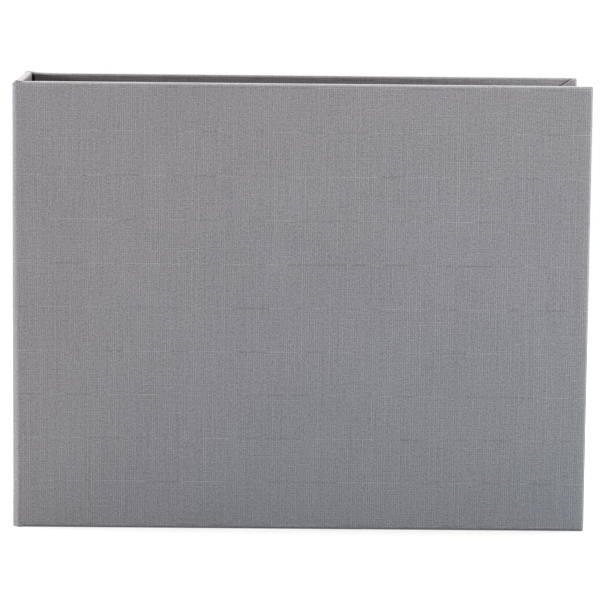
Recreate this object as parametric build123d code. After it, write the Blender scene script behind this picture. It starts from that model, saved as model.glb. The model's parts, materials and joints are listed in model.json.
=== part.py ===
"""Clamshell (drop-spine) book box: a cloth-covered case in the form of a book, with two nesting trays.

The box stands on its tail edge. X runs from the spine (-X) to the fore edge (+X), Y from the front
cover (-Y) to the back cover (+Y), and Z from tail to head. The origin is under the middle of the box.
The back cover carries the smaller base tray, and the front cover carries the larger lid tray, which
closes over it. Each tray has three walls: its fourth side is open towards the spine.
"""

from build123d import *
import math
import os

# ---------------------------------------------------------------- driving dimensions, in millimetres

# case
case_width = 240.0          # spine's outer face to fore edge
case_height = 187.0         # tail to head
case_depth = 70.0           # front cover's outer face to back cover's outer face
cover_board = 2.0           # greyboard of the covers and the spine
cloth = 0.3                 # book cloth
edge_round = 0.8            # cloth pulled round the edges of a board
turn_in = 15.0              # cloth folded onto the inner side of a board
mitre_slit = 0.25           # open seam where two turn-ins meet at a corner
mitre_start = 1.8           # that seam meets the head or tail edge this far from the corner
mitre_angle = 30.0          # degrees between the seam and that edge

# joints between the covers and the spine
joint_straight = 1.6        # flat stretch of joint between the fold and the cover's board
joint_floor_gap = 0.5       # the joint's cloth ends this far above the tail edge and below the head

# trays
square = 6.0                # how far the lid tray lies inside the covers' edges
tray_board = 2.0            # board of the trays' walls and floors
wrap = 0.3                  # covering of the trays' walls
wrap_round = 0.7            # covering pulled round the walls' corners and rims
lining = 0.3                # paper on the trays' floors and on the spine
lining_margin = 0.6         # lining stays this far inside the walls, or inside a board's ends
lining_head_margin = 5.0    # the spine's turn-ins show at head and tail by this much
spine_clearance = 0.8       # trays start this far past the covers' spine-side ends
side_clearance = 0.8        # between the two trays at head and at tail
fore_edge_clearance = 2.8   # between the two trays at the fore edge, for the lid's swing
rim_clearance = 0.5         # lid tray's rim above the back cover
crown_clearance = 0.7       # base tray's rim below the lid tray's floor

# ------------------------------------------------------------------------- what follows from them

cover = cover_board + 2 * cloth             # a covered board's whole thickness
fold = cover                                # outer radius of the cloth's fold at a joint
wall = tray_board + 2 * wrap                # a covered tray wall's whole thickness
tray_floor = tray_board + lining            # a tray's lined floor

spine_face = -case_width / 2
fore_edge = case_width / 2
back_face = case_depth / 2
cover_start = spine_face + fold + joint_straight    # where a cover's boards and cloth begin
tray_start = cover_start + spine_clearance

lid_reach = case_depth / 2 - cover                  # Y distance from the middle to a cover's inner face
lid_tail = square
lid_head = case_height - square
lid_fore = fore_edge - square

base_tail = lid_tail + wall + side_clearance
base_head = lid_head - wall - side_clearance
base_fore = lid_fore - wall - fore_edge_clearance

base_rim = -lid_reach + tray_floor + crown_clearance    # Y of the base tray's rim
lid_rim = lid_reach - rim_clearance                     # Y of the lid tray's rim

# A hinge that carries a cover from a right angle to the spine's own plane, and lets the joint's cloth
# unroll without stretching, turns about a point this far inside both outer faces.
hinge_inset = fold * (1 - math.pi / 4)


# ---------------------------------------------------------------------------------------- helpers

def slab(x, y, z):
    """A box between two X values, two Y values and two Z values."""
    size = [high - low for low, high in (x, y, z)]
    centre = [(low + high) / 2 for low, high in (x, y, z)]
    return Pos(*centre) * Box(*size)


def to_front(shape):
    """The same piece on the front cover's side."""
    return mirror(shape, about=Plane.XZ)


def save(shape, node):
    """Write one named piece."""
    shape.label = node
    export_step(shape, f"parts/{node}.step")


# ----------------------------------------------------------------------- covers and their cloth

def cover_board_piece():
    """Greyboard of the back cover, set in from the edges and from the joint by its coverings."""
    return slab(
        (cover_start + cloth, fore_edge - cloth),
        (back_face - cover + cloth, back_face - cloth),
        (cloth, case_height - cloth),
    )


def mitre_cut(corner_z, into):
    """Thin slit between two turn-ins, from beside a fore-edge corner inwards; into is -1 at the head."""
    reach = turn_in - mitre_start
    drop = into * reach * math.tan(math.radians(mitre_angle))
    start = Vector(fore_edge - mitre_start, back_face - cover, corner_z)
    end = start + Vector(-reach, 0, drop)
    seam = Plane(origin=(start + end) / 2, x_dir=end - start, z_dir=(0, 1, 0))
    return seam * Box((end - start).length, mitre_slit, 2 * cloth)


def cover_cloth():
    """Cloth of the back cover: one sheet over the outer face, three edges and three turn-ins."""
    sheet = slab((cover_start, fore_edge), (back_face - cover, back_face), (0, case_height))
    free_edges = (
        sheet.edges().filter_by(Axis.X)
        + sheet.edges().filter_by(Axis.Z).group_by(Axis.X)[-1]
        + sheet.faces().sort_by(Axis.X)[-1].edges().filter_by(Axis.Y)
    )
    sheet = fillet(free_edges, edge_round)
    inner_side = (back_face - cover, back_face - cover + cloth)
    window = slab((cover_start, fore_edge - turn_in), inner_side, (turn_in, case_height - turn_in))
    board_end = slab(
        (cover_start, cover_start + cloth),
        (back_face - cover, back_face - cloth),
        (cloth, case_height - cloth),
    )
    sheet = sheet - cover_board_piece() - window - board_end
    return sheet - mitre_cut(case_height, -1) - mitre_cut(0, 1)


# ------------------------------------------------------------------------------------------ spine

def spine_board_piece():
    """Greyboard of the spine, between the two joints."""
    half = case_depth / 2 - fold - cloth
    return slab(
        (spine_face + cloth, spine_face + cover - cloth),
        (-half, half),
        (cloth, case_height - cloth),
    )


def spine_cloth_piece():
    """Cloth of the spine: over the outer face and turned in at head and tail."""
    half = case_depth / 2 - fold
    sheet = slab((spine_face, spine_face + cover), (-half, half), (0, case_height))
    sheet = fillet(sheet.edges().filter_by(Axis.Y), edge_round)
    inner_side = (spine_face + cover - cloth, spine_face + cover)
    window = slab(inner_side, (-half, half), (turn_in, case_height - turn_in))
    back_end = slab(
        (spine_face + cloth, spine_face + cover),
        (half - cloth, half),
        (cloth, case_height - cloth),
    )
    return sheet - spine_board_piece() - window - back_end - to_front(back_end)


def spine_lining_piece():
    """Paper down the inner side of the spine, over the turn-ins and level with them between."""
    half = case_depth / 2 - fold - cloth - lining_margin
    inner_face = spine_face + cover
    over = slab(
        (inner_face, inner_face + lining),
        (-half, half),
        (lining_head_margin, case_height - lining_head_margin),
    )
    between = slab((inner_face - cloth, inner_face), (-half, half), (turn_in, case_height - turn_in))
    return over + between


# ----------------------------------------------------------------------------------------- joints

def joint_strip(depth, thickness):
    """Section of one layer of the back joint, that far inside the outer faces, run from tail to head."""
    radius = fold - depth - thickness / 2
    middle = depth + thickness / 2
    centre = (spine_face + fold, back_face - fold)
    flat = Line((cover_start, back_face - middle), (centre[0], back_face - middle))
    bend = CenterArc(centre, radius, 90, 90)
    section = trace(flat + bend, thickness)
    strip = extrude(section, case_height - 2 * joint_floor_gap)
    return Pos(0, 0, joint_floor_gap) * strip


def joint_cloth_piece():
    """Outer cloth of the back joint: flat beside the cover's board, then a quarter turn to the spine."""
    return joint_strip(0, cloth)


def joint_lining_piece():
    """Lining pressed into the back joint: up one board's end, along the cloth and up the other end."""
    tail_to_head = (joint_floor_gap, case_height - joint_floor_gap)
    cover_end = slab(
        (cover_start, cover_start + cloth),
        (back_face - cover, back_face - cloth),
        tail_to_head,
    )
    spine_end = slab(
        (spine_face + cloth, spine_face + cover),
        (back_face - fold - cloth, back_face - fold),
        tail_to_head,
    )
    return joint_strip(cloth, cloth) + cover_end + spine_end


# ------------------------------------------------------------------------------------------ trays

def tray(tail, head, fore, floor_side, rim):
    """Boards, wrap and lining of one tray, with its floor against floor_side and walls up to rim.

    floor_side and rim are Y values. The fore-edge wall runs the full height, the head and tail walls
    butt against it, and the floor board lies between all three.
    """
    up = 1 if rim > floor_side else -1

    def across(a, b):
        """Y values a and b above the floor side, in rising order."""
        return tuple(sorted((floor_side + up * a, floor_side + up * b)))

    wall_height = abs(rim - floor_side)
    board_top = wall_height - wrap
    boards_start = tray_start + wrap
    boards_fore = fore - wrap
    corner = fore - wrap - tray_board

    pieces = {
        "fore_edge_wall": slab((corner, boards_fore), across(0, board_top), (tail + wrap, head - wrap)),
        "head_wall": slab(
            (boards_start, corner), across(0, board_top), (head - wrap - tray_board, head - wrap)
        ),
        "tail_wall": slab(
            (boards_start, corner), across(0, board_top), (tail + wrap, tail + wrap + tray_board)
        ),
        "floor_board": slab(
            (boards_start, corner),
            across(0, tray_board),
            (tail + wrap + tray_board, head - wrap - tray_board),
        ),
    }

    outside = slab((tray_start, fore), across(0, wall_height), (tail, head))
    outside = fillet(outside.edges().filter_by(Axis.Y).group_by(Axis.X)[-1], wrap_round)
    inside = slab(
        (tray_start - wall, fore - wall),
        across(tray_board, wall_height + wall),
        (tail + wall, head - wall),
    )
    under = slab(
        (tray_start, boards_start + tray_board),
        across(0, tray_board),
        (tail + wall, head - wall),
    )
    skin = outside - inside - under
    rim_face = skin.faces().filter_by(Plane.XZ).sort_by(Axis.Y)[-1 if up > 0 else 0]
    skin = fillet(rim_face.edges(), wrap_round)
    for piece in pieces.values():
        skin = skin - piece
    pieces["tray_wrap"] = skin

    pieces["floor_lining"] = slab(
        (boards_start, fore - wall - lining_margin),
        across(tray_board, tray_board + lining),
        (tail + wall + lining_margin, head - wall - lining_margin),
    )
    return pieces


# ---------------------------------------------------------------------------------------- assembly

os.makedirs("parts", exist_ok=True)

save(cover_board_piece(), "back_cover_board")
save(cover_cloth(), "back_cover_cloth")
save(to_front(cover_board_piece()), "front_cover_board")
save(to_front(cover_cloth()), "front_cover_cloth")

save(spine_board_piece(), "spine_board")
save(spine_cloth_piece(), "spine_cloth")
save(spine_lining_piece(), "spine_lining")

save(joint_cloth_piece(), "back_joint_cloth")
save(joint_lining_piece(), "back_joint_lining")
save(to_front(joint_cloth_piece()), "front_joint_cloth")
save(to_front(joint_lining_piece()), "front_joint_lining")

for name, piece in tray(base_tail, base_head, base_fore, lid_reach, base_rim).items():
    save(piece, f"base_{name}")
for name, piece in tray(lid_tail, lid_head, lid_fore, -lid_reach, lid_rim).items():
    save(piece, f"lid_{name}")

print(f"hinge axes lie {hinge_inset:.3f} mm inside the outer faces")
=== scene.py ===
import json
import math

import bmesh
import bpy
import numpy as np
from mathutils import Matrix, Vector


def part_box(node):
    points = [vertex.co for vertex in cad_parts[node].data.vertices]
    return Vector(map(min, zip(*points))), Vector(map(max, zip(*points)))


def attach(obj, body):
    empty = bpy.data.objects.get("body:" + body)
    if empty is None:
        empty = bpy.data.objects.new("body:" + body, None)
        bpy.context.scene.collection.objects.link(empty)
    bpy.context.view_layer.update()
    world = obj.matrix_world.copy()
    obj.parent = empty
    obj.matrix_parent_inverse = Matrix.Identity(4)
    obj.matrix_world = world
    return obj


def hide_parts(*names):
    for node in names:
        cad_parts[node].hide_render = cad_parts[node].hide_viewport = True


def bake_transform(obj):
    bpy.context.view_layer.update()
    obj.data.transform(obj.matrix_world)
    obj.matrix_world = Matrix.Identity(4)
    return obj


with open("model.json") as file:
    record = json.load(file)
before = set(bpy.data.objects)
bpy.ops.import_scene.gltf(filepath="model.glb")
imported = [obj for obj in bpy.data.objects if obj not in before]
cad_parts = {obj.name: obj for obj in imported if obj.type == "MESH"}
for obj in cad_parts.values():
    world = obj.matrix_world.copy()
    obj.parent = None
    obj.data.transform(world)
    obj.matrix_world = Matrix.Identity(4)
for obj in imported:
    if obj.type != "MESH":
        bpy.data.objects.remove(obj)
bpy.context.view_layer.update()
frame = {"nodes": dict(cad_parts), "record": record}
nodes = frame["nodes"]


# ----------------------------------------------------------------------------------------- camera
# A long lens, five case widths away and a little above the box, looks down on it almost square to
# the front cover, so that the back cover's head edge shows over the front one's.

eye = Vector((-0.0135, -1.2752, 0.2529))
turn, dip, roll = math.radians(0.609), math.radians(-7.16), math.radians(0.585)

lens = bpy.data.cameras.new("camera")
lens.sensor_width = 36.0
lens.lens = 180.17
camera = bpy.data.objects.new("camera", lens)
camera.matrix_world = (
    Matrix.Translation(eye)
    @ Matrix.Rotation(-turn, 4, "Z")
    @ Matrix.Rotation(math.pi / 2 + dip, 4, "X")
    @ Matrix.Rotation(roll, 4, "Z")
)
bpy.context.scene.collection.objects.link(camera)
bpy.context.scene.camera = camera
bpy.context.scene.view_settings.view_transform = "Standard"


# -------------------------------------------------------------------------------------- greyboard
# The stiff core of every cover, wall and floor is dense grey board, pressed from waste paper, with
# a speckle of darker and lighter fibres. It is cut square and ends up sealed in its coverings.

pulp_dark = (0.20, 0.185, 0.165, 1)
pulp_light = (0.36, 0.34, 0.31, 1)
fleck_dark = (0.10, 0.09, 0.08, 1)


class Signal:
    """A node socket that takes part in plain expressions: +, -, * and / each add a Math node."""

    def __init__(self, tree, socket=None):
        self.tree = tree
        self.socket = socket

    def node(self, kind, settings=None, output=0, **sockets):
        """Adds a node of this kind, sets its settings, then its sockets, and returns an output.

        A socket named in_2 is the third input. Any other name is the input's own, with _ for a
        space.
        """
        made = self.tree.nodes.new("ShaderNode" + kind)
        for key, value in (settings or {}).items():
            setattr(made, key, value)
        for key, value in sockets.items():
            numbered = key.startswith("in_")
            name = int(key.removeprefix("in_")) if numbered else key.replace("_", " ")
            if isinstance(value, Signal):
                self.tree.links.new(value.socket, made.inputs[name])
            else:
                made.inputs[name].default_value = value
        return Signal(self.tree, made.outputs[output])

    def __add__(self, other):
        return self.node("Math", {"operation": "ADD"}, in_0=self, in_1=other)

    def __sub__(self, other):
        return self.node("Math", {"operation": "SUBTRACT"}, in_0=self, in_1=other)

    def __rsub__(self, other):
        return self.node("Math", {"operation": "SUBTRACT"}, in_0=other, in_1=self)

    def __mul__(self, other):
        return self.node("Math", {"operation": "MULTIPLY"}, in_0=self, in_1=other)

    def __truediv__(self, other):
        return self.node("Math", {"operation": "DIVIDE"}, in_0=self, in_1=other)

    __radd__ = __add__
    __rmul__ = __mul__


def eased(value, low, high):
    """0 where the value is below low and 1 above high, with an S-curve between."""
    curve = {"interpolation_type": "SMOOTHSTEP"}
    return value.node("MapRange", curve, Value=value, From_Min=low, From_Max=high)


def blended(factor, first, second):
    """Colour first where the factor is 0, and colour second where it is 1.

    A Mix node's sockets for colours are its inputs 6 and 7 and its output 2.
    """
    colours = {"data_type": "RGBA"}
    return factor.node("Mix", colours, output=2, in_0=factor, in_6=first, in_7=second)


def feed(shader, **sockets):
    """Links Signals to the shader's sockets, and sets plain numbers and colours on them."""
    for key, value in sockets.items():
        target = shader.inputs[key.replace("_", " ")]
        if isinstance(value, Signal):
            value.tree.links.new(value.socket, target)
        else:
            target.default_value = value


def new_material(name, finish):
    """A material whose shader is set by finish(start, shader); start is a Signal to build from."""
    made = bpy.data.materials.new(name)
    made.use_nodes = True
    finish(Signal(made.node_tree), made.node_tree.nodes["Principled BSDF"])
    return made


def greyboard_finish(start, shader):
    """Mottled pulp with dark flecks and a dry, slightly furry surface."""
    place = start.node("TexCoord", output="Object")
    fibres = start.node("TexNoise", Vector=place, Scale=900.0, Detail=6.0, Roughness=0.75)
    flecks = start.node("TexVoronoi", Vector=place, Scale=1400.0)
    pulp = blended(eased(fibres, 0.3, 0.7), pulp_dark, pulp_light)
    tone = blended(eased(flecks, 0.05, 0.16), fleck_dark, pulp)
    relief = start.node("Bump", Strength=0.5, Distance=0.0001, Height=fibres)
    feed(shader, Base_Color=tone, Roughness=0.95, Normal=relief)


greyboard = new_material("greyboard", greyboard_finish)

# The spine's board is made below, because its head end isn't quite level. The others are the CAD's.
for part in frame["record"]["subparts"]:
    if part["material_slot"] == "greyboard" and part["node"] != "spine_board":
        board = nodes[part["node"]]
        board.data.materials.clear()
        board.data.materials.append(greyboard)


# ---------------------------------------------------------------------------- book cloth, covers
# One sheet of grey linen-weave cloth is glued over the outer face of each cover, pulled round its
# head, tail and fore edge, and folded onto the inner face, where the turn-ins meet in a seam at
# each corner.

yarn_across = 0.0009        # pitch of the upright yarns
yarn_along = 0.00108        # pitch of the level yarns
yarn_wander = 0.0005        # a yarn strays from its straight line within a band this wide
marked_every = 17           # one level yarn in this many is uneven
mean_height = 0.637         # the mean of a half sine wave, which is a yarn's height across it
mean_crossing = 0.405       # and that of two yarns' heights multiplied
linen_dark = (0.131, 0.126, 0.129, 1)
linen_light = (0.393, 0.378, 0.387, 1)
# painted shade in the sunk corner seams, where the groove lies in shadow
seam_painted_shade = (0.035, 0.033, 0.034, 1)


def yarns(flat, pitch_across, pitch_along, wander):
    """Upright and level yarns on unrolled metres: the place, yarn number and height of each kind.

    A yarn's height is the sine of its width's share, from 0 at both sides to 1 in its middle.
    Soft noise moves the yarns by up to half of wander each way.
    """
    place = flat.node("SeparateXYZ", Vector=flat)
    plane = {"noise_dimensions": "2D"}
    drift = flat.node("TexNoise", plane, Vector=flat, Scale=14.0, Detail=2.0)
    found = []
    for index, pitch in ((0, pitch_across), (1, pitch_along)):
        along = Signal(flat.tree, place.socket.node.outputs[index]) + (drift - 0.5) * wander
        turns = along / pitch
        number = flat.node("Math", {"operation": "FLOOR"}, in_0=turns)
        height = flat.node("Math", {"operation": "SINE"}, in_0=(turns - number) * math.pi)
        found.append((along, number, height))
    return found


def speckle(start, across, along, detail=2.0):
    """Noise, mostly 0.3 to 0.7, whose grain is one unit of across by one unit of along.

    u / a and v / b give a grain of a by b metres. A yarn's number, times a factor that is no whole
    number, gives each yarn a noise of its own.
    """
    where = start.node("CombineXYZ", X=across, Y=along)
    plane = {"noise_dimensions": "2D"}
    return start.node("TexNoise", plane, Vector=where, Scale=1.0, Detail=detail, Roughness=0.6)


def linen_finish(start, shader):
    """Slubby linen: ribs of upright yarn, fainter level yarn, and a grain as fine as crossings.

    Each yarn keeps its own shade and strength for some centimetres. At a regular distance one
    level yarn is uneven, dark and pale by turns. The open corner seams are darkened with painted
    shade. Over the boards' head and fore edges the cloth is lightened with a painted highlight, and
    over their tail edges it is darkened with painted shade. The shade is 0.5 plus each of these,
    taken from its mean and times its strength.
    """
    flat = start.node("UVMap", {"uv_map": "cloth"})
    (u, column, rib), (v, row, cord) = yarns(flat, yarn_across, yarn_along, yarn_wander)
    column_shade = speckle(start, column * 7.31, v / 0.060)
    dashes = speckle(start, column * 4.13, v / 0.005, 1.0)
    row_shade = speckle(start, u / 0.040, row * 5.17)
    slub = speckle(start, u / 0.0010, v / 0.009)
    grain = speckle(start, u / 0.00046, v / 0.00075, 1.0)
    nap = speckle(start, u / 0.0014, v / 0.0014)
    which = start.node("Math", {"operation": "FLOORED_MODULO"}, in_0=row, in_1=marked_every)
    marked = start.node("Math", {"operation": "COMPARE"}, in_0=which, in_1=1.0, in_2=0.5)
    pale_or_dark = eased(speckle(start, u / 0.014, row * 9.13), 0.36, 0.62) - 0.5
    uneven = marked * rib * eased(cord, 0.78, 0.96) * pale_or_dark
    plane = {"noise_dimensions": "2D"}
    cloudy = start.node("TexNoise", plane, Vector=flat, Scale=30.0, Detail=4.0)

    shade = (
        0.5
        + (rib - mean_height) * (0.15 + (column_shade - 0.5) * 1.4 + (dashes - 0.5) * 1.2)
        + (cord - mean_height) * (0.02 + (row_shade - 0.5) * 0.65)
        + (rib * cord - mean_crossing) * 0.10
        + (column_shade - 0.5) * 0.16
        + (row_shade - 0.5) * 0.05
        + (slub - 0.5) * 0.16
        + (grain - 0.5) * 0.96
        + (nap - 0.5) * 0.22
        + uneven * 0.80
        + (cloudy - 0.5) * 0.10
    )
    seam = start.node("Attribute", {"attribute_name": "seam"}, output="Fac")
    rubbed = start.node("Attribute", {"attribute_name": "rubbed"}, output="Fac")
    # Painted highlight on the head and fore edges and on the spine's turned-in ends, and painted
    # shade on the tail edges.
    tone = blended(shade + rubbed * 0.30, linen_dark, linen_light)
    # Painted shade along the corner seams.
    tone = blended(seam, tone, seam_painted_shade)
    height = rib * 0.6 + cord * 0.4 + grain * 1.2 + slub * 0.6
    relief = start.node("Bump", Strength=0.5, Distance=0.00012, Height=height)
    feed(shader, Base_Color=tone, Roughness=0.80 + rib * 0.14, Normal=relief)
    feed(shader, Specular_IOR_Level=0.2)


linen = new_material("book_cloth", linen_finish)

# The inner side of the joints and of the spine is pasted down with a dark cloth of finer weave.
fine_pitch = 0.00045        # of its yarns, both ways
fine_wander = 0.0004
charcoal_dark = (0.010, 0.0095, 0.010, 1)
charcoal_light = (0.058, 0.054, 0.056, 1)


def charcoal_finish(start, shader):
    """Fine plain weave in near-black yarn that catches a little light on its tops.

    The upright yarn is on top where the numbers of the two crossing yarns add up to an odd one,
    and the level yarn elsewhere.
    """
    flat = start.node("UVMap", {"uv_map": "cloth"})
    (u, column, rib), (v, row, cord) = yarns(flat, fine_pitch, fine_pitch, fine_wander)
    over = start.node("Math", {"operation": "PINGPONG"}, in_0=column + row, in_1=1.0)
    weave = over * rib + (1 - over) * cord
    column_shade = speckle(start, column * 7.31, v / 0.030)
    row_shade = speckle(start, u / 0.030, row * 5.17)
    grain = speckle(start, u / 0.0005, v / 0.0005)
    nap = speckle(start, u / 0.0020, v / 0.0020, 4.0)
    shade = weave * 0.35 + (column_shade + row_shade) * 0.35 + grain * 0.3 + nap * 0.25
    relief = start.node("Bump", Strength=0.6, Distance=0.00010, Height=weave)
    feed(shader, Base_Color=blended(eased(shade, 0.45, 1.15), charcoal_dark, charcoal_light))
    feed(shader, Roughness=0.78 + nap * 0.14, Normal=relief)
    feed(shader, Sheen_Weight=0.12, Specular_IOR_Level=0.3)


charcoal = new_material("tray_cloth", charcoal_finish)

same_point = 1e-6           # points nearer than this are merged
sharp_from = math.radians(38)       # an edge is sharp where its faces meet at more than this


def shell(name, rows, flat, materials, dark=None, **marks):
    """A closed skin over rows of points, each row a closed outline, with its unrolled place as UV.

    rows is (row, column, 3). flat is (row, column + 1, 2), because the outline's last point meets
    its first at another unrolled place. The first and last rows are folded shut. Faces marked in
    dark take the second material, and each of marks gives the points' values for an attribute of
    that name. The faces are turned about if the sum of their corners' triple products, six times
    the volume inside, is below 0.
    """
    count, around = rows.shape[:2]
    r, c = np.meshgrid(np.arange(count - 1), np.arange(around), indexing="ij")
    here = r * around + c
    beside = r * around + (c + 1) % around
    quads = np.stack([here, beside, beside + around, here + around], -1)
    corners = np.stack([flat[r, c], flat[r, c + 1], flat[r + 1, c + 1], flat[r + 1, c]], -2)
    points = rows.reshape(-1, 3)
    quads, corners = quads.reshape(-1, 4), corners.reshape(-1, 4, 2)
    p, q, s, t = (points[quads[:, k]] for k in range(4))
    volume = np.einsum("ij,ij->", p, np.cross(q, s)) + np.einsum("ij,ij->", p, np.cross(s, t))
    if volume < 0:
        quads, corners = quads[:, ::-1], corners[:, ::-1]

    mesh = bpy.data.meshes.new(name)
    mesh.from_pydata(points.tolist(), [], quads.tolist())
    layer = mesh.uv_layers.new(name="cloth")
    layer.data.foreach_set("uv", corners.reshape(-1).astype(np.float32))
    for mark, values in marks.items():
        attribute = mesh.attributes.new(mark, "FLOAT", "POINT")
        attribute.data.foreach_set("value", values.reshape(-1).astype(np.float32))
    for material in materials:
        mesh.materials.append(material)
    if dark is not None:
        mesh.polygons.foreach_set("material_index", dark.reshape(-1).astype(np.int32))

    work = bmesh.new()
    work.from_mesh(mesh)
    bmesh.ops.remove_doubles(work, verts=work.verts, dist=same_point)
    bmesh.ops.dissolve_degenerate(work, edges=work.edges, dist=same_point)
    work.to_mesh(mesh)
    work.free()
    mesh.shade_smooth()
    mesh.set_sharp_from_angle(angle=sharp_from)
    made = bpy.data.objects.new(name, mesh)
    bpy.context.scene.collection.objects.link(made)
    return made


def smooth(low, high, x):
    """0 below low, 1 above high, and an S-curve between."""
    t = np.clip((x - low) / (high - low), 0, 1)
    return t * t * (3 - 2 * t)


def both_ends(length, fine, coarse, zone):
    """Stations along a strip: every fine metres within zone of both ends, every coarse between."""
    near = np.arange(fine, zone, fine)
    return np.concatenate([near, np.arange(zone, length - zone, coarse), (length - near)[::-1]])


quarter_turn = np.linspace(0, math.pi / 2, 9)       # stations of each small rounding


def soft_ends(length, half, round_over, stations):
    """How far a strip's outline is drawn in, and where, with both ends folded shut and rounded.

    Each end starts drawn in by half the thickness, opens flat to the rounding, and follows a
    quarter circle of radius round_over into the body, whose places are given by stations.
    """
    opening = np.linspace(half, round_over, 3)[:-1]
    drawn = np.concatenate([opening, round_over * (1 - np.sin(quarter_turn))])
    along = np.concatenate([np.zeros(len(opening)), round_over * (1 - np.cos(quarter_turn))])
    clear = round_over * 1.05
    body = stations[(stations > clear) & (stations < length - clear)]
    drawn = np.concatenate([drawn, np.zeros(len(body)), drawn[::-1]])
    return drawn, np.concatenate([along, body, (length - along)[::-1]])


def running(*coordinates):
    """Distance run along a line of points, from 0 at its first."""
    steps = np.sqrt(sum(np.diff(c) ** 2 for c in coordinates))
    return np.concatenate([[0], np.cumsum(steps)])


spine_low, spine_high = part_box("spine_cloth")
joint_low, joint_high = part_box("back_joint_cloth")
head = spine_high.z
fold = joint_high.y - spine_high.y                  # outer radius of the cloth's turn at a joint
joint_flat = joint_high.x - (spine_low.x + fold)    # flat stretch beside the cover
joint_run = spine_high.y + fold * math.pi / 2 + joint_flat      # unrolled, from the spine's middle

# The head end isn't quite level where the cloth bunches at the joints: how far it stands up, by
# how far round the spine from its middle, front to back, both in millimetres.
around_spine = (
    -45, -39.3, -38.1, -36.5, -35.5, -34.4, -32.4, -18, 0, 18, 32.4, 34.6, 36.5, 38.1, 41, 46
)
stands_up = (0, -0.1, 0.02, 0.25, 0.4, -0.5, -1.15, -0.6, -0.33, 0, 0.35, 0.75, 0.55, 0.4, 0.2, 0)
lift_zone = 0.014           # the unevenness fades out this far below the head


def head_lift(run, z):
    """How far a point is raised: read from the table by its run, times a smooth step of z."""
    lift = np.interp(run * 1000, around_spine, stands_up) / 1000
    return lift * smooth(head - lift_zone, head, z)


edge_round = 0.00120        # radius of the cloth pulled round a board's edges
least_round = 0.00002       # what is left of it where the outline is drawn in further
seam_start = 0.0018         # the seam leaves the head or tail edge this far from the corner
seam_angle = math.radians(30)
seam_width = 0.00044
seam_depth = 0.00034
ridge_from_seam = 0.0005    # the cut edge of the upper turn-in stands up a little
ridge_width = 0.0003
ridge_height = 0.00020
overlap_rise = 0.00026      # the fore-edge turn-in lies on top
turn_in = 0.015
turn_in_slope = 0.002       # its raised part ends in a slope this long
edge_slope = 0.0012         # and so does all that stands up, at the board's own edges
face_depth = 0.0004         # points of an outline within this depth of a face belong to it
ripple_height = 0.000022
tail_painted_shade = 1.2                  # painted shade: the tail edges are this much darker, where an edge with painted highlight is 1 lighter
dark_margin = 0.0015        # the joints' dark inner cloth runs on over the cover this far
bare_turn_in = 0.0048       # and stops short of head and tail by this much
dark_faces = 4              # of a row: the margin and the three faces of the cut end
fine_zone = 0.0130          # stations are close together this near to the edges, for the seams
fine_step, coarse_step = 0.0002, 0.0020
face_stations, inner_stations, end_stations = 90, 60, 4

# Zones, each from the distance where it begins to the one where it is complete.
unrubbed_zone = (0.0004, 0.0015)    # inwards from the head and fore edges, where their painted highlight ends
tail_shade_zone = (0.0003, 0.0013)    # up from the tail edge, where its painted shade ends
highlight_joint_zone = (-0.002, 0.006)         # away from the joint, where the painted highlight grows to full
ripple_zone = (0.0005, 0.006)       # inwards from the board's edges
ripple_joint_zone = (0.0, 0.012)    # and away from the joint


def board_outline(drawn, start, end, thick, near):
    """Outline of a covered board in (across, depth), drawn in, with its edge at end rounded.

    It runs along the outer face, round the edge by two quarter circles, back along the inner face
    and down the cut end. near gives the inner face's stations, measured back from the edge.
    """
    r = max(edge_round - drawn, least_round)
    end = end - drawn
    top, bottom = drawn, thick - drawn
    face = np.linspace(start, end - r, face_stations)
    arc = quarter_turn[1:]
    side = np.linspace(top + r, bottom - r, end_stations)[1:]
    inner = end - r - (near - near[0]) * (end - r - start) / (near[-1] - near[0])
    cut = np.linspace(bottom, top, end_stations)[1:-1]
    across = [face, end - r + r * np.sin(arc), np.full(len(side), end)]
    across += [end - r + r * np.cos(arc), inner[1:], np.full(len(cut), start)]
    depth = [np.full(len(face), top), top + r - r * np.cos(arc), side]
    depth += [bottom - r + r * np.sin(arc), np.full(len(inner) - 1, bottom), cut]
    return np.concatenate(across), np.concatenate(depth)


def unevenness(x, z, phase):
    """Ripples left by the paste: the sum of four long, shallow sine waves, each its own way.

    A wave is given by its radians per metre across and along, and its share of ripple_height.
    """
    waves = np.zeros(np.broadcast(x, z).shape)
    four = ((41, 23, 1.0), (-67, 35, 0.6), (13, 88, 0.5), (119, -61, 0.3))
    for number, (across, along, size) in enumerate(four, start=1):
        waves = waves + size * np.sin(across * x + along * z + phase * number ** 1.7)
    return waves * ripple_height


def lined(z):
    """Which rows of faces the dark cloth covers: those whose middle is far enough from the ends."""
    middle = (z[1:] + z[:-1]) / 2
    return (middle > bare_turn_in) & (middle < head - bare_turn_in)


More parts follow.
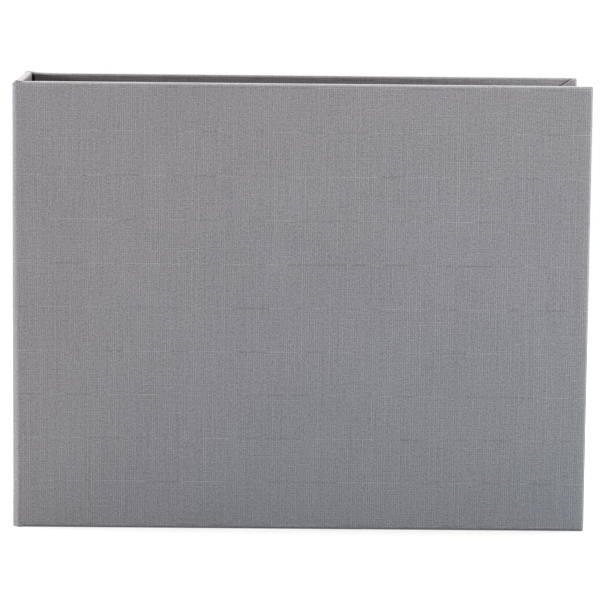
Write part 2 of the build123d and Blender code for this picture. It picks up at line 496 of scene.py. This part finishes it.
def covered_board(name, side, phase, edge_highlight_share):
    """Cloth over one cover: the board's outline carried from tail to head, closed softly at both.

    side is +1 for the back cover and -1 for the front. On the inner face the fore-edge turn-in
    lies a little higher than the head and tail ones, past a straight seam at seam_angle. The seam
    is sunk, and the ridge beside it raised, by a bell curve, exp(-(distance / spread) ** 2), and
    the seam is darkened with painted shade. The last argument is how much painted highlight the
    head and fore edges get; the tail edges get painted shade.
    """
    low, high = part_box(name + "_cover_cloth")
    thick = high.y - low.y
    length = high.x - low.x
    near = np.concatenate([
        np.arange(0, fine_zone, fine_step),
        np.linspace(fine_zone + fine_step, length - edge_round - dark_margin, inner_stations),
        [length - edge_round],
    ])
    stations = both_ends(high.z, fine_step, coarse_step, fine_zone)
    drawn, along = soft_ends(high.z, thick / 2, edge_round, stations)
    outlines = [board_outline(d, low.x, high.x, thick, near) for d in drawn]
    across = np.array([line[0] for line in outlines])
    depth = np.array([line[1] for line in outlines])
    z = np.broadcast_to(along[:, None], across.shape)

    from_fore = high.x - across
    from_end = np.minimum(z, high.z - z)
    from_joint = across - low.x
    past_seam = from_end - (from_fore - seam_start) * math.tan(seam_angle)
    past_seam = past_seam * math.cos(seam_angle)
    raised = smooth(turn_in, turn_in - turn_in_slope, from_fore) * smooth(0, edge_slope, from_fore)
    inner = (depth > thick - face_depth) * smooth(0, edge_slope, from_end)
    rise = overlap_rise * smooth(0, ridge_from_seam, past_seam) * raised * inner
    seam = np.exp(-((past_seam / (seam_width / 2)) ** 2)) * raised * inner
    ridge = np.exp(-(((past_seam - ridge_from_seam) / ridge_width) ** 2)) * raised * inner
    # Painted highlight along the head and fore edges, fading in near the joint, less painted shade
    # along the tail edges.
    rubbed = 1 - smooth(*unrubbed_zone, np.minimum(from_fore, high.z - z))
    tail_painted_shade_mask = tail_painted_shade * (1 - smooth(*tail_shade_zone, z))
    rubbed = edge_highlight_share * rubbed * smooth(*highlight_joint_zone, from_joint) - tail_painted_shade_mask
    outer = (depth < face_depth) * smooth(*ripple_zone, from_fore)
    outer = outer * smooth(*ripple_zone, from_end) * smooth(*ripple_joint_zone, from_joint)
    ripples = outer * unevenness(across, z, phase)
    depth = depth + rise + ridge_height * ridge - seam_depth * seam - ripples

    y = side * (high.y if side > 0 else -low.y) - side * depth
    halfway = len(drawn) // 2
    u = joint_run + running(across[halfway], depth[halfway])
    u = np.append(u, u[-1] + thick / (end_stations - 1))
    v = along - np.where(along < high.z / 2, 1, -1) * drawn
    flat = np.stack(np.broadcast_arrays(side * u, v[:, None]), -1)
    lift = head_lift(side * (joint_run + across - low.x), z)
    rows = np.stack([across, y, z + lift], -1)
    columns = across.shape[1]
    dark = np.outer(lined(along), np.arange(columns) >= columns - dark_faces)
    return shell(name + "_cover", rows, flat, [linen, charcoal], dark, seam=seam, rubbed=rubbed)


for name, side, body, phase, edge_highlight_share in (
    ("back", 1, "base", 0.7, 0.0),
    ("front", -1, "lid", 2.9, 1.0),
):
    cover = covered_board(name, side, phase, edge_highlight_share)
    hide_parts(name + "_cover_cloth")
    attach(cover, body)


# --------------------------------------------------------------------------- spine in its cloth
# The spine is a narrow board under the same sheet of cloth, turned in at head and tail. Its head
# end slopes a little, up towards the back joint, where the turned-in cloth bunches.

cloth_thick = 0.0003
turn_in_bulk = 0.00030      # the turned-in cloth thickens the spine's inner side this much
turn_in_end = 0.0006        # and ends in a slope this long
turn_in_rubbed = 0.6        # and gets this share of an edge's painted highlight
spine_margin = 0.0012       # the joints' dark inner cloth runs on over the spine this far
spine_zone = 0.0170         # stations are close together this far in from head and tail
spine_fine, spine_coarse, spine_stations = 0.0008, 0.0025, 60


def spine_strip(name, under, soft, bulk, materials):
    """A flat strip, its outline in (depth, y) carried from tail to head.

    under is how deep it lies below the outer face of the cloth, and soft is the rounding of its
    ends. bulk is added to its inner side near head and tail, where the cloth is lightened with a
    painted highlight. Beside the joints the inner side is dark.
    """
    half_width = spine_high.y - under
    thick = spine_high.x - spine_low.x - 2 * under
    stations = both_ends(head - 2 * under, spine_fine, spine_coarse, spine_zone)
    drawn, along = soft_ends(head - 2 * under, thick / 2, soft, stations)
    width = np.linspace(-half_width, half_width, spine_stations)
    down = np.linspace(0, 1, end_stations)[1:-1]
    side = np.full(len(down), half_width)
    y = np.concatenate([width, side, width[::-1], -side])
    share = np.concatenate([np.zeros(len(width)), down, np.ones(len(width)), down[::-1]])
    next_y, next_share = np.roll(y, -1), np.roll(share, -1)
    beside_joints = (np.abs(y + next_y) / 2 > half_width - spine_margin) & (share + next_share > 0)

    depth = under + drawn[:, None] + share * (thick - 2 * drawn[:, None])
    z = np.broadcast_to(under + along[:, None], depth.shape)
    from_end = np.minimum(z, head - z)
    turned_in = share * smooth(-bare_turn_in, -bare_turn_in + turn_in_end, -from_end)
    depth = depth + bulk * turned_in * smooth(0, edge_slope, from_end)
    u = running(y, share * thick)
    u = np.append(u, u[-1] + thick / (end_stations - 1)) - half_width
    v = along - np.where(along < head / 2, 1, -1) * drawn
    y = np.broadcast_to(y, depth.shape)
    rows = np.stack([spine_low.x + depth, y, z + head_lift(y, z)], -1)
    flat = np.stack(np.broadcast_arrays(u, v[:, None]), -1)
    dark = np.outer(lined(under + along), beside_joints) if len(materials) > 1 else None
    # Painted highlight on the turned-in cloth at head and tail.
    return shell(name, rows, flat, materials, dark, rubbed=turn_in_rubbed * turned_in)


spine = spine_strip(
    "spine_cover", under=0.0, soft=0.0006, bulk=turn_in_bulk, materials=[linen, charcoal]
)
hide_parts("spine_cloth")
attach(spine, "spine")

spine_core = spine_strip(
    "spine_core", under=cloth_thick, soft=0.0001, bulk=0.0, materials=[greyboard]
)
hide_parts("spine_board")
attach(spine_core, "spine")


# ----------------------------------------------------------------------------------- cloth joints
# Beside each cover the cloth runs on alone over the joint: a short flat stretch and a soft quarter
# turn onto the spine. Its inner side is lined.

bead = 0.0009               # the cloth bunches into a bead inside the joint's head and tail
bead_height = 0.0020
flattened = 0.0006          # how far in the turn's middle lies at the tail, where it is worn flat
worn_below, round_above = 0.02, 0.16        # heights between which the turn grows round
lining_top = 0.00032        # depths of the lining, with a hair's gap under the cloth
lining_bottom = 0.0006
lining_short = 0.0016       # the lining stops short of head and tail by this much
layer_round = 0.49          # radius of a layer's ends, as a share of its thickness
joint_zone = 0.0024         # stations are close together this near to head and tail
joint_fine, joint_coarse = 0.0002, 0.0025
straight_stations, turn_stations = 8, 19


def joint_strip(name, side, outer, inner, material, swell, short):
    """One layer of a joint: a band between two depths below the outer face, from tail to head.

    The band goes straight beside the cover, then round a quarter circle about the corner of the
    board's inner faces. The turn lies in by sin(2 angle), times a smooth step that is 1 at the
    tail and 0 near the head. The inner side swells by half a sine wave at head and tail, and the
    band stops short of both. side is +1 at the back and -1 at the front.
    """
    thick = inner - outer
    length = head - 2 * short
    stations = both_ends(length, joint_fine, joint_coarse, joint_zone)
    drawn, along = soft_ends(length, thick / 2, thick * layer_round, stations)
    along = along + short
    straight = np.linspace(joint_flat, 0, straight_stations)[:-1]
    turned = -np.linspace(0, math.pi / 2, turn_stations) * fold
    run = np.concatenate([straight, turned])
    there = np.concatenate([run, run[::-1]])
    below = np.concatenate([np.zeros(len(run)), np.ones(len(run))])

    z = np.broadcast_to(along[:, None], (len(along), len(there)))
    swelling = swell * np.sin(math.pi * np.clip(np.minimum(z, head - z) / bead_height, 0, 1))
    depth = outer + drawn[:, None] + below * (thick - 2 * drawn[:, None] + swelling)
    angle = np.clip(-there, 0, None) / fold
    depth = depth + flattened * (1 - smooth(worn_below, round_above, z)) * np.sin(2 * angle)
    x = spine_low.x + fold + np.clip(there, 0, None) - (fold - depth) * np.sin(angle)
    y = side * (spine_high.y + (fold - depth) * np.cos(angle))
    u = side * (joint_run - joint_flat + np.append(there, there[0]))
    rows = np.stack([x, y, z + head_lift(u[:-1], z)], -1)
    flat = np.stack(np.broadcast_arrays(u, along[:, None]), -1)
    return shell(name, rows, flat, [material])


for name, side, body in (("back", 1, "base"), ("front", -1, "lid")):
    outside = joint_strip(
        name + "_joint", side, outer=0.0, inner=cloth_thick, material=linen, swell=bead, short=0.0
    )
    inside = joint_strip(
        name + "_joint_inner", side, outer=lining_top, inner=lining_bottom, material=charcoal,
        swell=0.0, short=lining_short,
    )
    for layer, node, slot in (
        (outside, name + "_joint_cloth", "book_cloth"),
        (inside, name + "_joint_lining", "tray_cloth"),
    ):
        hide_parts(node)
        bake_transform(layer)


# ---------------------------------------------------------------------- tray walls in their wrap
# One long strip of the dark cloth covers the three walls of each tray: up the outer side, over the
# soft rim and down the inner side, round both corners and over the walls' ends.

wall_round = 0.0007         # radius of the rim, of the outer corners and of the walls' ends
corner_clear = 0.002        # the tail wall's stations stop this far before the corner
wall_start = 0.001
wall_stations, fore_stations, height_stations, rim_stations = 60, 40, 30, 7


def tray_wrap(tray):
    """The wrap: a wall's outline in (across, height) carried along the tail, fore and head walls.

    Every station of the route has an outer and an inner point, and the outline lies between them,
    so that the outer corner is softly round and the inner one is sharp. The route's second half
    mirrors its first about the tray's middle.
    """
    low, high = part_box(tray + "_tray_wrap")
    wall_low, wall_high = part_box(tray + "_head_wall")
    thick = wall_high.z - wall_low.z + 2 * (high.z - wall_high.z)
    foot, up = (high.y, -1) if tray == "base" else (low.y, 1)
    height = high.y - low.y

    length = high.x - low.x
    stations = np.linspace(wall_start, length, wall_stations)
    drawn, along = soft_ends(length, thick / 2, wall_round, stations)
    tail_wall = along < length - corner_clear
    drawn, along = drawn[tail_wall], along[tail_wall]
    corner_x = high.x - wall_round * (1 - np.sin(quarter_turn))
    corner_z = low.z + wall_round * (1 - np.cos(quarter_turn))
    rise = np.linspace(low.z + thick, (low.z + high.z) / 2, fore_stations)[1:]
    outer_x = np.concatenate([low.x + along, corner_x, np.full(len(rise), high.x)])
    outer_z = np.concatenate([np.full(len(along), low.z), corner_z, rise])
    inner_x = np.minimum(outer_x, high.x - thick)
    inner_z = np.maximum(outer_z, low.z + thick)
    drawn = np.concatenate([drawn, np.zeros(len(corner_x) + len(rise))])

    def with_mirror(half, turned=False):
        """The half and its mirror image: turned values are reflected, and others are repeated."""
        other = half[:-1][::-1]
        return np.concatenate([half, low.z + high.z - other if turned else other])

    outer_x, inner_x, drawn = with_mirror(outer_x), with_mirror(inner_x), with_mirror(drawn)
    outer_z, inner_z = with_mirror(outer_z, True), with_mirror(inner_z, True)

    steps = np.linspace(0, height - wall_round, height_stations)
    arc = np.linspace(0, math.pi / 2, rim_stations)[1:]
    rim_in = wall_round * (1 - np.cos(arc)) / thick
    rim_up = height - wall_round + wall_round * np.sin(arc)
    outside, inside = np.zeros(len(steps)), np.ones(len(steps))
    share = np.concatenate([outside, rim_in, 1 - rim_in[::-1], inside, [0.5]])
    level = np.concatenate([steps, rim_up, rim_up[::-1], steps[::-1], [0.0]])
    over = running(level, share * thick)
    over = np.append(over, over[-1] + thick / 2)
    route = running(outer_x, outer_z)

    share = drawn[:, None] / thick + share * (1 - 2 * drawn[:, None] / thick)
    level = np.minimum(level, height - drawn[:, None])
    x = outer_x[:, None] + (inner_x - outer_x)[:, None] * share
    z = outer_z[:, None] + (inner_z - outer_z)[:, None] * share
    rows = np.stack([x, foot + up * level, z], -1)
    flat = np.stack(np.broadcast_arrays(route[:, None], over), -1)
    return shell(tray + "_tray_walls", rows, flat, [charcoal])


for tray in ("base", "lid"):
    walls = tray_wrap(tray)
    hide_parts(tray + "_tray_wrap")
    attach(walls, tray)


# ------------------------------------------------------------------ linings of floors and spine
# Each tray's floor is lined with charcoal laid paper, with fine parallel lines from its mould. The
# spine's inner side is lined with the dark cloth, cut a little short of the turned-in ends.

laid_pitch = 0.0010
chain_pitch = 0.025
paper_wander = 0.0004
paper_dark = (0.028, 0.027, 0.028, 1)
paper_light = (0.064, 0.062, 0.063, 1)
paper_spare = 0.0005        # the paper is worked into the corner by this much
sheet_round = 0.4           # radius of a sheet's edges, as a share of its thickness
sheet_stations = 40
half_turn = np.linspace(-math.pi / 2, math.pi / 2, 9)


def laid_paper_finish(start, shader):
    """Laid lines with chain lines across them, under a mottle of fibres."""
    flat = start.node("UVMap", {"uv_map": "cloth"})
    (u, _, chain), (v, _, laid) = yarns(flat, chain_pitch, laid_pitch, paper_wander)
    fibres = speckle(start, u / 0.0009, v / 0.0006, 5.0)
    chain_line = 1 - eased(chain, 0.0, 0.10)
    shade = laid * 0.22 + fibres * 0.8 - chain_line * 0.12
    tone = blended(eased(shade, 0.2, 0.85), paper_dark, paper_light)
    relief = start.node("Bump", Strength=0.4, Distance=0.00006, Height=shade)
    feed(shader, Base_Color=tone, Roughness=0.80 + fibres * 0.15, Normal=relief)


laid_paper = new_material("lining_paper", laid_paper_finish)


def lining_sheet(name, node, material, spare=0.0):
    """A thin sheet in the node's own box: a flat outline with half-round edges, carried along Z.

    spare is added along the three walls, where the paper is worked into the corner.
    """
    low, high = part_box(node)
    low.z, high.x, high.z = low.z - spare, high.x + spare, high.z + spare
    facing_y = high.y - low.y < high.x - low.x
    thick = min(high.x - low.x, high.y - low.y)
    width = max(high.x - low.x, high.y - low.y)
    height = high.z - low.z
    soft = thick * sheet_round
    drawn, along = soft_ends(height, thick / 2, soft, np.linspace(0, height, sheet_stations))
    run = np.linspace(soft, width - soft, sheet_stations)
    far_edge = width - soft + soft * np.cos(half_turn)
    near_edge = soft - soft * np.cos(half_turn)
    through = 0.5 + 0.5 * np.sin(half_turn)
    across = np.concatenate([run, far_edge, run[::-1], near_edge])
    share = np.concatenate([np.zeros(len(run)), through, np.ones(len(run)), through[::-1]])
    flat = np.stack(np.broadcast_arrays(np.append(across, across[0]), along[:, None]), -1)
    depth = drawn[:, None] + share * (thick - 2 * drawn[:, None])
    across = np.broadcast_to(across, depth.shape)
    z = np.broadcast_to(low.z + along[:, None], depth.shape)
    if facing_y:
        rows = np.stack([low.x + across, low.y + depth, z], -1)
    else:
        rows = np.stack([low.x + depth, low.y + across, z], -1)
    return shell(name, rows, flat, [material])


for tray in ("base", "lid"):
    sheet = lining_sheet(tray + "_floor_sheet", tray + "_floor_lining", laid_paper, paper_spare)
    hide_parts(tray + "_floor_lining")
    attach(sheet, tray)

sheet = lining_sheet("spine_inner_sheet", "spine_lining", charcoal)
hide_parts("spine_lining")
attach(sheet, "spine")


# -------------------------------------------------------------------------------- floor and light
# A broad white table that throws some light back up, under one very soft overhead light set a
# little behind the box, with long lamps to the left and right. The left one looks down over the
# spine's head.

reach = 8.0                                 # half the table's side
table_seen = (0.94, 0.94, 0.94, 1)
table_open = (0.345, 0.32, 0.325, 1)        # what it throws back, a little away from the box
table_painted_shade = (0.09, 0.18, 0.205, 1)         # painted shadow: the darker, cooler light it throws back round the spot in front of the box
# the middle of the painted shadow, close in front of the box
painted_shade_spot = (0.08, -0.10, 0.0)
painted_shade_zone = (0.03, 0.28)                    # the distances from that spot between which the painted shadow ends
white_near = 0.6                            # share of pure white that the eye sees by the box
white_zone = (0.3, 0.9)                     # and the distances between which it grows to 1
surround_dim = (0.11, 0.065, 0.078, 1)
surround_seen = (1, 1, 1, 1)
middle = Vector((0, 0, 0.09))               # of the box, which the lamps face


def seen(start):
    """1 for camera rays and for those that reach the eye by a mirror or through glass, else 0."""
    paths = start.node("LightPath").socket.node.outputs
    direct, mirrored, through = (
        Signal(start.tree, paths["Is " + kind + " Ray"])
        for kind in ("Camera", "Glossy", "Transmission")
    )
    any_of_them = direct + mirrored + through
    return start.node("Math", {"operation": "MINIMUM"}, in_0=any_of_them, in_1=1.0)


def table_finish(start, shader):
    """Matt white near the box, where it keeps the box's shadow, fading to pure white further off.

    Close in front of the box what it throws back is darkened and cooled by a painted shadow.
    """
    eye_ray = seen(start)
    place = start.node("TexCoord", output="Object")
    distance = {"operation": "DISTANCE"}
    away = start.node("VectorMath", distance, output="Value", in_0=place, in_1=painted_shade_spot)
    # Painted shadow: the light thrown back is darker and cooler close in front of the box.
    thrown_back = blended(eased(away, *painted_shade_zone), table_painted_shade, table_open)
    tone = blended(eye_ray, thrown_back, table_seen)
    feed(shader, Base_Color=tone, Roughness=0.95, Specular_IOR_Level=0.0)
    white = start.node("Emission", Strength=1.0)
    matt = Signal(start.tree, shader.outputs[0])
    cleared = white_near + eased(away, *white_zone) * (1 - white_near)
    both = start.node("MixShader", in_0=cleared * eye_ray, in_1=matt, in_2=white)
    start.tree.links.new(both.socket, start.tree.nodes["Material Output"].inputs["Surface"])


table = new_material("table", table_finish)
mesh = bpy.data.meshes.new("floor")
corners = [(-reach, -reach, 0), (reach, -reach, 0), (reach, reach, 0), (-reach, reach, 0)]
mesh.from_pydata(corners, [], [(0, 1, 2, 3)])
mesh.materials.append(table)
floor = bpy.data.objects.new("floor", mesh)
bpy.context.scene.collection.objects.link(floor)


def lamp(name, kind, place, **settings):
    """A lamp of this kind at place, facing the box's middle."""
    light = bpy.data.lights.new(name, kind)
    for key, value in settings.items():
        setattr(light, key, value)
    made = bpy.data.objects.new(name, light)
    made.location = place
    made.rotation_mode = "QUATERNION"
    made.rotation_quaternion = (middle - Vector(place)).to_track_quat("-Z", "Y")
    bpy.context.scene.collection.objects.link(made)


strip = {"shape": "RECTANGLE", "size": 1.0}
lamp(
    "overhead", "SUN", (0.10, 0.35, 1.4),
    energy=7.7, angle=math.radians(50), color=(1.0, 1.0, 0.985),
)
lamp(
    "left", "AREA", (-1.25, -0.1, 0.33),
    energy=22.0, size_y=0.16, color=(0.93, 0.96, 1.0), **strip,
)
lamp(
    "right", "AREA", (1.2, -0.6, 0.12),
    energy=20.3, size_y=0.20, color=(0.89, 0.965, 1.0), **strip,
)

world = bpy.data.worlds.new("world")
bpy.context.scene.world = world
world.use_nodes = True
start = Signal(world.node_tree)
surround = blended(seen(start), surround_dim, surround_seen)
world.node_tree.links.new(surround.socket, world.node_tree.nodes["Background"].inputs["Color"])
